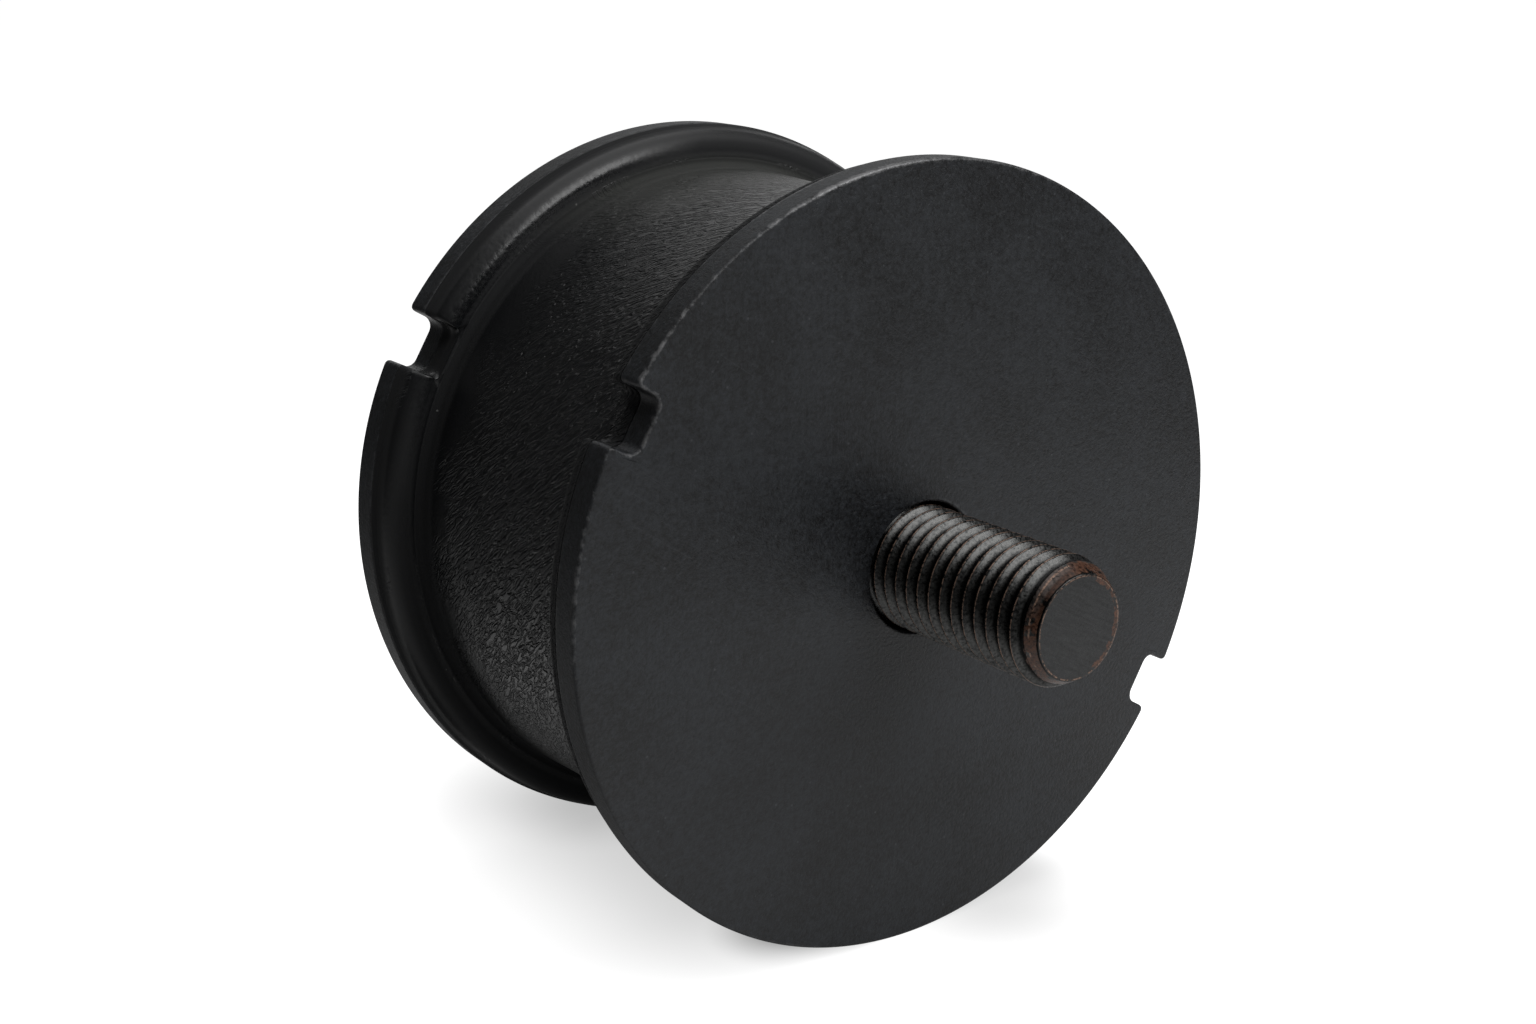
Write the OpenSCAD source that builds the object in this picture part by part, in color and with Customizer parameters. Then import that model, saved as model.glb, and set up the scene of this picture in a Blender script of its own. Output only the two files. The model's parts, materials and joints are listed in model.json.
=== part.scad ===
// Rubber buffer mount: a waisted rubber block bonded between two notched steel plates,
// with a headed stud through each plate. It lies on its rims, with the front stud along -Y.

/* [Overall] */
// Diameter of the end plates
plate_d = 100; // [80:1:130]
// Height between the outer faces of the plates
mount_h = 55; // [48:1:90]
// Tilt of the line through the notches, above the horizontal
notch_tilt = 30.7; // [0:0.1:60]

/* [End plates] */
// Thickness of a plate
plate_t = 4; // [3:0.5:6]
// Edge break round the rim, on both faces
rim_break = 0.4; // [0.2:0.1:0.8]
// Radial gap between a plate's hole and the stud's thread
hole_gap = 0.35; // [0.2:0.05:1]

/* [Notches] */
// Width of a notch along the rim
notch_w = 7; // [5:0.5:10]
// Depth of a notch in from the rim
notch_depth = 4; // [2.5:0.25:4.5]
// Radius of a notch's inner corners
notch_r = 1.5; // [0.5:0.25:2]

/* [Studs] */
// Outside diameter of the thread
thread_d = 16; // [10:1:20]
// Depth of the thread, which the neck inside the plate is turned down by
thread_depth = 0.65; // [0.4:0.05:1]
// Length of a stud beyond its plate
stud_out = 27; // [15:1:50]
// How far the chamfer at a stud's tip comes in from the thread
tip_chamfer = 1.7; // [0.5:0.1:2.5]
// Length of that chamfer along the stud
tip_run = 3; // [1:0.1:5]
// Width of a stud's hexagon head across its flats
head_af = 24; // [22:1:30]
// Height of a stud's head
head_h = 10; // [6:0.5:12]
// Slope of the head's corner chamfer
head_slope = 30; // [15:1:35]

/* [Rubber] */
// How far the rubber's foot stays in from the rim of the plate
foot_in = 0.4; // [0.2:0.1:2]
// Thickness of the rubber's foot on each plate
foot_t = 3.8; // [3:0.1:5]
// Radius of the rounded shoulder on the foot
shoulder_r = 2.8; // [0.5:0.1:2.9]
// Depth of the waist at the middle, in from the edge of the foot
waist_depth = 5.7; // [4.5:0.1:12]
// Bow of the waist between the middle and the feet
waist_bow = 0.7; // [0.3:0.1:1.5]
// Radius of the fillet between the waist and a foot
waist_fillet = 0.8; // [0.5:0.1:4]

/* [Hidden] */

// Fine steps for round faces
$fn = 180;
// Overrun of a cutting shape past the face that it cuts
overrun = 1;

plate_r = plate_d / 2;
// Height of the plates' inner faces above the middle
seat_z = mount_h / 2 - plate_t;
thread_r = thread_d / 2;
hole_r = thread_r + hole_gap;
tip_z = mount_h / 2 + stud_out;
// Corner-to-corner radius of the hexagon, and the circle that its chamfer leaves
head_corner_r = head_af / 2 / cos(30);
head_top_r = head_af / 2;

foot_r = plate_r - foot_in;
// Height of a foot's face above the middle
foot_z = seat_z - foot_t;
waist_r = foot_r - waist_depth;
// The waist is an arc about a point outside the mount
bow_r = (foot_z * foot_z + waist_bow * waist_bow) / (2 * waist_bow);
bow_x = waist_r + bow_r;
// Each fillet touches the foot's face and, from inside its circle, the arc of the waist
fillet_z = foot_z - waist_fillet;
fillet_x = bow_x - sqrt(pow(bow_r - waist_fillet, 2) - pow(fillet_z, 2));
touch_z = fillet_z * bow_r / (bow_r - waist_fillet);
// The shoulder takes no more of the foot's face than the fillet leaves
round_r = min(shoulder_r, foot_r - fillet_x);

steel = "#2b2c2f";
oxide = "#3a3733";
rubber = "#1c1c1c";

// Lays the upright mount down, so that its top faces forward
module laid() {
    rotate([90, 0, 0]) children();
}

// The same piece at the other end of the mount
module at_rear() {
    mirror([0, 0, 1]) children();
}

// Outline of one notch, from its floor out past the rim
module notch_outline() {
    floor_x = plate_r - notch_depth;
    translate([floor_x + notch_r, -notch_w / 2])
        square([notch_depth - notch_r + overrun, notch_w]);
    translate([floor_x, notch_r - notch_w / 2])
        square([notch_r + overrun, notch_w - 2 * notch_r]);
    for (side = [-1, 1])
        translate([floor_x + notch_r, side * (notch_w / 2 - notch_r)])
            circle(r = notch_r, $fn = 48);
}

// The pair of notches opposite each other, cut through the whole height
module notches() {
    for (turn = [0, 180])
        rotate([0, 0, turn - notch_tilt])
            translate([0, 0, -mount_h])
                linear_extrude(2 * mount_h)
                    notch_outline();
}

// Steel disc with a broken edge on both faces
module plate_blank() {
    rotate_extrude()
        polygon([
            [0, seat_z],
            [plate_r - rim_break, seat_z],
            [plate_r, seat_z + rim_break],
            [plate_r, mount_h / 2 - rim_break],
            [plate_r - rim_break, mount_h / 2],
            [0, mount_h / 2]
        ]);
}

// Notched plate with a clearance hole for its stud
module plate() {
    difference() {
        plate_blank();
        notches();
        translate([0, 0, seat_z - overrun])
            cylinder(r = hole_r, h = plate_t + 2 * overrun);
    }
}

// Hexagon head with its corners chamfered away from the plate
module stud_head() {
    chamfer_h = (head_corner_r - head_top_r) * tan(head_slope);
    intersection() {
        translate([0, 0, seat_z - head_h])
            cylinder(r = head_corner_r, h = head_h, $fn = 6);
        rotate_extrude()
            polygon([
                [0, seat_z - head_h],
                [head_top_r, seat_z - head_h],
                [head_corner_r, seat_z - head_h + chamfer_h],
                [head_corner_r + overrun, seat_z - head_h + chamfer_h],
                [head_corner_r + overrun, seat_z],
                [0, seat_z]
            ]);
    }
}

// Headed stud: neck inside the plate, thread outside it, chamfered tip
module stud() {
    stud_head();
    rotate_extrude()
        polygon([
            [0, seat_z],
            [thread_r - thread_depth, seat_z],
            [thread_r - thread_depth, mount_h / 2],
            [thread_r, mount_h / 2],
            [thread_r, tip_z - tip_run],
            [thread_r - tip_chamfer, tip_z],
            [0, tip_z]
        ]);
}

// Air round the waist, between the two feet
module groove_outline() {
    intersection() {
        translate([bow_x, 0])
            circle(r = bow_r, $fn = 1440);
        translate([0, -touch_z])
            square([fillet_x, 2 * touch_z]);
    }
    translate([fillet_x, -foot_z])
        square([foot_r - fillet_x + overrun, 2 * foot_z]);
    for (side = [-1, 1])
        translate([fillet_x, side * fillet_z])
            circle(r = waist_fillet, $fn = 96);
}

// Corner that the rounded shoulder of a foot leaves off
module shoulder_outline() {
    difference() {
        translate([foot_r - round_r, foot_z - overrun])
            square([round_r + overrun, round_r + overrun]);
        translate([foot_r - round_r, foot_z + round_r])
            circle(r = round_r, $fn = 96);
    }
}

// Turned shape of the rubber, with a foot at each end
module rubber_blank() {
    rotate_extrude()
        difference() {
            translate([0, -seat_z])
                square([foot_r, 2 * seat_z]);
            groove_outline();
            shoulder_outline();
            mirror([0, 1]) shoulder_outline();
        }
}

// Rubber moulded onto both plates and round the heads of the studs
module rubber_body() {
    color(rubber) laid()
        difference() {
            rubber_blank();
            notches();
            stud_head();
            at_rear() stud_head();
        }
}

module front_plate() {
    color(steel) laid() plate();
}

module rear_plate() {
    color(steel) laid() at_rear() plate();
}

module front_stud() {
    color(oxide) laid() stud();
}

module rear_stud() {
    color(oxide) laid() at_rear() stud();
}

rubber_body();
front_plate();
rear_plate();
front_stud();
rear_stud();
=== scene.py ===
# %% [markdown]
# # A rubber buffer mount
# The mount is a block of rubber bonded between two notched steel plates, with a threaded
# stud through each plate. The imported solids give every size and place. This lesson builds
# a finer skin for each piece in the same frame, gives it its finish, and lights it on a
# white floor as a product picture would.

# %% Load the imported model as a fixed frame
import json
import math

import bmesh
import bpy
import numpy as np
from mathutils import Matrix, Vector


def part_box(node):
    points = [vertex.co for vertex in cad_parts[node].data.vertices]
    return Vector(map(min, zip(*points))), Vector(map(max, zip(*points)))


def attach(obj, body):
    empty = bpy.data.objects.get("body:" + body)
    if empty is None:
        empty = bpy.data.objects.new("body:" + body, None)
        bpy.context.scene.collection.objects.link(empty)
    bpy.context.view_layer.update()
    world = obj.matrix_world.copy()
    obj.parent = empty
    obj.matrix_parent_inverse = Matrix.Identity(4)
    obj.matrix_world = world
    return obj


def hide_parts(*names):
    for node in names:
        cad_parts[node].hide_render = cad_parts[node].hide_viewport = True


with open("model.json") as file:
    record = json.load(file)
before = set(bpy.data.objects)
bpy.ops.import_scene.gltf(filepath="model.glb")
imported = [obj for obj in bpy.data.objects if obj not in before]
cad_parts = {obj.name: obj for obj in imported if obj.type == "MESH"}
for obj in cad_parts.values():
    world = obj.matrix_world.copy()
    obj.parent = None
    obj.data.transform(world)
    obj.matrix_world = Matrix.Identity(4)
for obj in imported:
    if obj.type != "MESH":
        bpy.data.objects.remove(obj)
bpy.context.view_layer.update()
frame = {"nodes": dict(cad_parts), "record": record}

print("nodes:", sorted(frame["nodes"]))

# %% [markdown]
# ## Sizes
# The big sizes are read from the solids, so the skin can't drift away from them. The small
# ones, such as the notch and the rounds of the rubber, are driving sizes of the real mount,
# in millimetres.

# %% Sizes of the mount
MM = 0.001
mounts = {m["name"]: m for m in frame["record"]["mounts"]}

FACE_Y = round(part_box("front_plate")[0].y, 5)
SEAT_Y = round(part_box("front_plate")[1].y, 5)
PLATE_R = round(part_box("front_plate")[1].x, 4)
FOOT_R = round(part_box("rubber_body")[1].x, 4)
TIP_Y = round(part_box("front_stud")[0].y, 5)
HEAD_Y = round(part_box("front_stud")[1].y, 5)
THREAD_R = mounts["front_stud"]["dims"]["r_mm"] * MM

NOTCH_W = 7 * MM
NOTCH_DEPTH = 4 * MM
NOTCH_ROUND = 1.5 * MM
NOTCH_TILT = math.radians(30.7)
HOLE_GAP = 0.35 * MM

FOOT_T = 3.8 * MM
SHOULDER_R = 2.8 * MM
WAIST_DEPTH = 5.7 * MM
WAIST_BOW = 0.7 * MM
WAIST_FILLET = 0.8 * MM

print(f"plate radius {PLATE_R / MM:.1f} mm, height {-2 * FACE_Y / MM:.1f} mm, tip at {TIP_Y / MM:.1f} mm")

# %% [markdown]
# ## Camera
# A camera fitted to both rims of the mount stands about a quarter of a metre away, a little
# above it and to the left of its stud. It could be moved by eye until the outlines agree, but
# two angles, a lens and the place of the front plate's middle in the picture say it exactly.

# %% Camera
PICTURE_W = 1536
PICTURE_H = 1024
AZIMUTH = math.radians(-36.03)
ELEVATION = math.radians(16.70)
FOCAL_PX = 1955.2
FACE_MIDDLE_PX = (923.5, 567.3)
FACE_DEPTH = 4.8247 * PLATE_R

right = Vector((math.cos(AZIMUTH), math.sin(AZIMUTH), 0))
ahead = Vector((-math.sin(AZIMUTH) * math.cos(ELEVATION),
                math.cos(AZIMUTH) * math.cos(ELEVATION),
                -math.sin(ELEVATION)))
up = right.cross(ahead)
aside = (FACE_MIDDLE_PX[0] - PICTURE_W / 2) / FOCAL_PX * FACE_DEPTH
below = (FACE_MIDDLE_PX[1] - PICTURE_H / 2) / FOCAL_PX * FACE_DEPTH
eye = Vector((0, FACE_Y, 0)) - aside * right + below * up - FACE_DEPTH * ahead

scene = bpy.context.scene
camera_data = bpy.data.cameras.new("picture_camera")
camera_data.sensor_width = 36
camera_data.lens = FOCAL_PX / PICTURE_W * camera_data.sensor_width
camera_data.clip_start = 0.01
camera_data.clip_end = 50
camera = bpy.data.objects.new("picture_camera", camera_data)
camera.matrix_world = Matrix.Translation(eye) @ Matrix((right, up, -ahead)).transposed().to_4x4()
scene.collection.objects.link(camera)
scene.camera = camera
print(f"lens {camera_data.lens:.1f} mm, eye at {[round(c / MM) for c in eye]} mm")

# %% [markdown]
# ## Small helpers
# A finish is a tree of nodes. One function turns a written colour into the linear values that
# a shader wants, one fills the inputs of a node, and one adds a node with its settings. With
# them a finish reads as a list of steps, and each step names what it takes.

# %% Colours and nodes
# Short names for the kinds of node that the finishes use most
MATH = "ShaderNodeMath"
VECTOR = "ShaderNodeVectorMath"
RANGE = "ShaderNodeMapRange"
NOISE = "ShaderNodeTexNoise"
MIX = "ShaderNodeMix"


def linear(hex_colour):
    """Linear red, green, blue and full alpha of an sRGB hex colour."""
    parts = [int(hex_colour[i:i + 2], 16) / 255 for i in (1, 3, 5)]
    return tuple(c / 12.92 if c <= 0.04045 else ((c + 0.055) / 1.055) ** 2.4 for c in parts) + (1.0,)


def feed(tree, node, feeds):
    """Gives inputs of a node a value, a socket, or the first output of another node."""
    for key, value in feeds.items():
        if isinstance(value, bpy.types.Node):
            value = value.outputs[0]
        if isinstance(value, bpy.types.NodeSocket):
            tree.links.new(value, node.inputs[key])
        else:
            node.inputs[key].default_value = value


def add(tree, kind, feeds=None, **settings):
    """Adds one node with its settings and feeds its inputs."""
    made = tree.nodes.new(kind)
    for key, value in settings.items():
        setattr(made, key, value)
    feed(tree, made, feeds or {})
    return made


print(f"mid grey #808080 is {linear('#808080')[0]:.3f} in linear light")

# %% [markdown]
# The pieces are turned parts, so their skins are rings of points round the axis, joined as a
# potter joins coils. Each ring also carries values for its finish, such as how far it lies
# from an edge. A second function turns what a modifier has made into a plain mesh.

# %% Meshes from rings
# Points nearer to each other than this are joined
WELD = 0.0005 * MM


def skin(name, rings, marks, ends=None):
    """Mesh object over rings of equal length. Without ends the last ring joins the first.

    marks holds, for each named float attribute, one value or one array for each ring."""
    rings = [np.asarray(r, float) for r in rings]
    count = len(rings[0])
    points = list(np.concatenate(rings))
    faces = []
    last = len(rings) - (1 if ends else 0)
    for k in range(last):
        a, b = k * count, (k + 1) % len(rings) * count
        faces += [(a + i, a + (i + 1) % count, b + (i + 1) % count, b + i) for i in range(count)]
    for ring, end in zip((0, len(rings) - 1), ends or ()):
        a = ring * count
        faces += [(a + i, a + (i + 1) % count, len(points)) for i in range(count)]
        points.append(np.asarray(end, float))
    mesh = bpy.data.meshes.new(name)
    mesh.from_pydata([tuple(p) for p in points], [], faces)
    for mark, values in marks.items():
        spread = np.concatenate([np.broadcast_to(v, count) for v in values])
        if ends:
            spread = np.append(spread, [spread[0], spread[-1]])
        mesh.attributes.new(mark, "FLOAT", "POINT").data.foreach_set("value", spread.astype(np.float32))
    shell = bmesh.new()
    shell.from_mesh(mesh)
    bmesh.ops.remove_doubles(shell, verts=shell.verts, dist=WELD)
    bmesh.ops.recalc_face_normals(shell, faces=shell.faces)
    shell.to_mesh(mesh)
    shell.free()
    mesh.shade_smooth()
    made = bpy.data.objects.new(name, mesh)
    scene.collection.objects.link(made)
    print(f"{name}: {len(mesh.vertices)} points, {len(mesh.polygons)} faces")
    return made


def finished(piece):
    """Turns the evaluated result of a piece's modifiers into its plain mesh."""
    graph = bpy.context.evaluated_depsgraph_get()
    result = piece.evaluated_get(graph)
    mesh = bpy.data.meshes.new_from_object(result, preserve_all_data_layers=True, depsgraph=graph)
    piece.modifiers.clear()
    piece.data = mesh
    triangles = sum(len(p.vertices) - 2 for p in mesh.polygons)
    print(f"{piece.name}: {len(mesh.vertices)} points, {triangles} triangles")


print(f"points within {WELD / MM} mm are joined")

# %% [markdown]
# ## The notched outline
# Both plates and both feet of the rubber share one outline: a circle with two square-bottomed
# notches opposite each other. A boolean cut would leave ragged faces along the edge, so the
# outline is drawn point by point, in the same order at any radius. Loops at different
# radii then join up cleanly.

# %% Outline of a notched circle
RIM_STEPS = 190
WALL_STEPS = 4
ROUND_STEPS = 8
FLOOR_STEPS = 8
LIP_STEPS = 8
LIP_R = 0.9 * MM

# Limits where a circle hardly reaches past the floor of a notch: the share of its chord that
# the notch may take, and the shares of the depth that the lip and the inner rounds may take
CHORD_SHARE = 0.98
LIP_SHARE = 0.3
ROUND_SHARE = 0.6


def notched_outline(radius):
    """Loop of (x, z) points round a circle with both notches, whose corners are eased."""
    floor = PLATE_R - NOTCH_DEPTH
    half = min(NOTCH_W / 2, CHORD_SHARE * math.sqrt(radius ** 2 - floor ** 2))
    corner = math.sqrt(radius ** 2 - half ** 2)
    depth = corner - floor
    lip = min(LIP_R, LIP_SHARE * depth)
    inner = min(NOTCH_ROUND, ROUND_SHARE * depth)
    step = np.linspace(0, 1, LIP_STEPS + 1)[:, None]
    rim_start = math.asin(half / radius) + lip / radius
    on_rim = radius * np.array([math.cos(rim_start), math.sin(rim_start)])
    eased = ((1 - step) ** 2 * [corner - lip, half] + 2 * step * (1 - step) * [corner, half]
             + step ** 2 * on_rim)
    turn = np.linspace(math.pi, math.pi / 2, ROUND_STEPS + 1)
    rounded = np.array([floor + inner, half - inner]) + inner * np.c_[np.cos(turn), np.sin(turn)]
    wall = np.linspace(rounded[-1], eased[0], WALL_STEPS + 1)
    upper = np.concatenate([rounded, wall[1:], eased[1:]])
    level = np.linspace(-1, 1, FLOOR_STEPS + 1)[1:-1, None] * [0, half - inner] + [floor, 0]
    notch = np.concatenate([upper[::-1] * [1, -1], level, upper])
    sweep = np.linspace(rim_start, math.pi - rim_start, RIM_STEPS + 1)[1:-1]
    rim = radius * np.c_[np.cos(sweep), np.sin(sweep)]
    half_loop = np.concatenate([notch, rim])
    loop = np.concatenate([half_loop, -half_loop])
    cos, sin = math.cos(-NOTCH_TILT), math.sin(-NOTCH_TILT)
    return loop @ np.array([[cos, sin], [-sin, cos]])


print(f"outline of {len(notched_outline(PLATE_R))} points")


# %% [markdown]
# Four small functions work on such loops. Spokes from a notched loop to a round one must never
# cross, so each point of the round one gets an angle in proportion to its way along the
# notched one.

# %% Spokes and insets
def bearing(loop):
    """Angle for each point, in proportion to its way along the loop, so that spokes never cross."""
    step = np.linalg.norm(np.roll(loop, -1, 0) - loop, axis=1)
    share = 2 * math.pi * (np.cumsum(step) - step) / step.sum()
    turn = np.unwrap(np.arctan2(loop[:, 1], loop[:, 0]))
    return share + np.mean(turn - share)


def inset(loop, distance):
    """The loop moved inwards by a distance along its own normals."""
    along = np.roll(loop, -1, 0) - np.roll(loop, 1, 0)
    along /= np.linalg.norm(along, axis=1)[:, None]
    return loop + distance * np.c_[-along[:, 1], along[:, 0]]


def around(radius, turn):
    """Points at an angle or angles, at a radius or radii."""
    return np.c_[radius * np.cos(turn), radius * np.sin(turn)]


def at_height(loop, y):
    """A loop of (x, z) points set at one place along the mount's axis."""
    return np.c_[loop[:, 0], np.full(len(loop), y), loop[:, 1]]


spokes = bearing(notched_outline(PLATE_R))
print(f"{len(spokes)} spokes, at most {math.degrees(np.diff(spokes).max()):.2f} degrees apart")

# %% [markdown]
# ## The plates
# Each plate is a disc blanked from 4 mm steel, its edges rolled over slightly by the punch. A
# Bevel modifier could round a plain disc. Here the section is walked, from the hole out along
# the inner face, over the rim and back along the outer face, because each loop can then carry
# its distance from the nearest edge, for the wear that the finish shows there.

# %% Plates
EDGE_R = 0.35 * MM
EDGE_STEPS = 5
HOLE_R = THREAD_R + HOLE_GAP

# Round rings on each face, from beside the hole to just inside the notches
FACE_RINGS = 6
BESIDE_HOLE = HOLE_R + 3 * MM
INSIDE_NOTCHES = PLATE_R - NOTCH_DEPTH - 2 * MM

# Distance from the edge in mm: on the face by the hole and by the rim, near and halfway on the walls
BY_HOLE_MM = 0.5
BY_RIM_MM = 0.6
BY_WALL_MM = 0.4
MID_WALL_MM = 1.5

# How much the notches and the sides of a rolled edge are spared from wear, as mm from the edge
NOTCH_SHELTER_MM = 0.12
EDGE_SHELTER_MM = 0.14

# Points of the outline nearer to the axis than this lie in a notch
IN_A_NOTCH = PLATE_R - 0.02 * MM


def plate(name, outer_y, inner_y):
    """One notched disc between two places along the axis."""
    loop = notched_outline(PLATE_R)
    turn = bearing(loop)
    way = math.copysign(1, outer_y - inner_y)
    quarter = np.linspace(0, math.pi / 2, EDGE_STEPS + 1)
    halfway = (inner_y + outer_y) / 2
    sheltered = np.where(np.linalg.norm(loop, axis=1) < IN_A_NOTCH, NOTCH_SHELTER_MM, 0)
    stations = []
    for y, inward, sides in ((inner_y, way, 1), (outer_y, -way, -1)):
        hole_edge = []
        rim_edge = []
        for q in quarter:
            back = EDGE_R * (1 - math.sin(q))
            level = y + inward * EDGE_R * (1 - math.cos(q))
            off_middle = abs(4 * q / math.pi - 1)
            hole_edge.insert(0, (around(HOLE_R + back, turn), level, 0))
            rim_edge.append((inset(loop, back), level, sheltered + EDGE_SHELTER_MM * off_middle))
        face = [(around(HOLE_R + EDGE_R + BY_HOLE_MM * MM, turn), y, BY_HOLE_MM)]
        for radius in np.linspace(BESIDE_HOLE, INSIDE_NOTCHES, FACE_RINGS):
            face.append((around(radius, turn), y, min(radius - HOLE_R, PLATE_R - radius) / MM))
        face.append((inset(loop, BY_RIM_MM * MM), y, BY_RIM_MM))
        wall = y + inward * (EDGE_R + BY_WALL_MM * MM)
        bore = [(around(HOLE_R, turn), wall, BY_WALL_MM)]
        rim = [(loop, wall, BY_WALL_MM)]
        stations += (bore + hole_edge + face + rim_edge + rim)[::sides]
    stations.insert(len(stations) // 2, (loop, halfway, MID_WALL_MM))
    stations.append((around(HOLE_R, turn), halfway, MID_WALL_MM))
    rings = [at_height(s[0], s[1]) for s in stations]
    return skin(name, rings, {"from_edge": [s[2] for s in stations]})


front_disc = plate("front_disc", FACE_Y, SEAT_Y)
rear_disc = plate("rear_disc", -FACE_Y, -SEAT_Y)

# %% [markdown]
# ## The rubber
# The rubber is one moulding: a foot bonded to each plate, a rounded shoulder, a small fillet
# and a waist that bows in slightly. Bevels on a lathed profile could round it, but here the
# section is worked out from those few sizes, as arcs that run into each other exactly.

# %% Rubber section
# A thin flash of rubber runs out to the rim: place in from the rim, and along from the plate
FLASH = ((0.08 * MM, 0), (0.12 * MM, 0.25 * MM))
FLASH_ENDS = 0.8 * MM
SHOULDER_STEPS = 20
FILLET_STEPS = 10
WAIST_STEPS = 32

# Polish of the surface: edge of the foot, crest of the shoulder and waist, and its rise from the fillet
EDGE_POLISH = 0.1
CREST_POLISH = 1.0
WAIST_POLISH = 0.3
POLISH_RISE = 3


def rubber_section():
    """(radius, distance from the middle, polish) from a plate's inner face down to the middle."""
    seat = -SEAT_Y
    foot = seat - FOOT_T
    bow_r = (foot ** 2 + WAIST_BOW ** 2) / (2 * WAIST_BOW)
    bow_x = FOOT_R - WAIST_DEPTH + bow_r
    fillet_y = foot - WAIST_FILLET
    fillet_x = bow_x - math.sqrt((bow_r - WAIST_FILLET) ** 2 - fillet_y ** 2)
    touch = math.asin(fillet_y / (bow_r - WAIST_FILLET))
    section = [(PLATE_R - inward, seat - along, EDGE_POLISH) for inward, along in FLASH]
    section.append((FOOT_R, seat - FLASH_ENDS, EDGE_POLISH))
    for q in np.linspace(0, math.pi / 2, SHOULDER_STEPS):
        polish = EDGE_POLISH + (CREST_POLISH - EDGE_POLISH) * math.sin(q) ** 2
        down = SHOULDER_R * (1 - math.cos(q))
        section.append((FOOT_R - down, foot + SHOULDER_R * (1 - math.sin(q)), polish))
    for q in np.linspace(math.pi / 2, touch, FILLET_STEPS):
        section.append((fillet_x - WAIST_FILLET * math.cos(q), fillet_y + WAIST_FILLET * math.sin(q), 0))
    for q in np.linspace(touch, 0, WAIST_STEPS)[1:]:
        polish = min(WAIST_POLISH, POLISH_RISE * (touch - q) / touch)
        section.append((bow_x - bow_r * math.cos(q), bow_r * math.sin(q), polish))
    return section


SECTION = rubber_section()
print(f"section of {len(SECTION)} points, {min(s[0] for s in SECTION) / MM:.2f} mm in radius at its waist")

# %% [markdown]
# The section is turned round the axis. Where it is wide enough to reach the notches, each loop
# follows the notched outline. Inside, a pocket fits round the head of each stud.

# %% Rubber block
HEAD_AF = 24 * MM
HEAD_SLOPE = math.radians(30)
NOTCH_FADES_AT = PLATE_R - NOTCH_DEPTH + 0.2 * MM

# Depth of the chamfer on the corners of a stud's head
HEAD_CHAMFER = (HEAD_AF / 2 / math.cos(math.pi / 6) - HEAD_AF / 2) * math.tan(HEAD_SLOPE)

# Loops on the bonded face, as shares of the way from the pocket to the rim
SEAT_SHARES = (0.3, 0.6, 0.9)


def hexagon(turn):
    """Radius of the flats of a stud's head, at each angle."""
    return HEAD_AF / 2 / np.cos(np.mod(turn, math.pi / 3) - math.pi / 6)


def rubber_loop(radius):
    """Loop of the rubber at a radius, notched where it reaches past the floor of the notches."""
    if radius > NOTCH_FADES_AT:
        return notched_outline(radius)
    return around(radius, bearing(notched_outline(FOOT_R)))


def rubber_block(name):
    """The whole moulding, from the pocket at the front to the pocket at the rear."""
    foot_loop = rubber_loop(FOOT_R)
    turn = bearing(foot_loop)
    head_inner = -HEAD_Y
    wall = around(hexagon(turn), turn)
    half = [(around(HEAD_AF / 2, turn), head_inner, 0), (wall, head_inner + HEAD_CHAMFER, 0),
            (wall, -SEAT_Y, 0)]
    for share in SEAT_SHARES:
        half.append(((1 - share) * wall + share * foot_loop, -SEAT_Y, 0))
    half += [(rubber_loop(r), y, polish) for r, y, polish in SECTION]
    front = [(at_height(loop, -y), polish) for loop, y, polish in half]
    rear = [(at_height(loop, y), polish) for loop, y, polish in half[-2::-1]]
    rings = [s[0] for s in front + rear]
    marks = {"polish": [s[1] for s in front + rear]}
    return skin(name, rings, marks, ends=((0, -head_inner, 0), (0, head_inner, 0)))


rubber = rubber_block("rubber_block")

# %% [markdown]
# ## The studs
# A stud starts as a turned blank: a hexagon head, a neck and a plain shank with a chamfered
# tip. Rolling then presses the thread into the shank. A Screw modifier could draw the thread,
# but its ends would stay open. The lesson works as the maker does: the blank is a grid whose
# rows already climb by one pitch a turn, and a Geometry Nodes tree presses the groove in by
# rule, from the pitch and the depth of an M16 thread.

# %% Stud blank
PITCH = 2 * MM
THREAD_DEPTH = 1.15 * MM
NECK_R = THREAD_R - 0.65 * MM
TIP_CHAMFER = 1.7 * MM
TIP_RUN = 3.0 * MM
NECK_ROUND = 0.3 * MM
THREAD_FROM = -2 * MM
THREAD_TO = FACE_Y - TIP_Y
COLUMNS = 120
ROWS_A_PITCH = 20

# Turns added to the lead, so that it is above 0 all along the shank
LEAD_START = 8

# Rings of the end face: mm in from its edge, and whether the black is worn off there
TIP_RINGS = ((0, 1), (0.18, 1), (0.35, 0), (1.2, 0), (3.5, 0))


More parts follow.
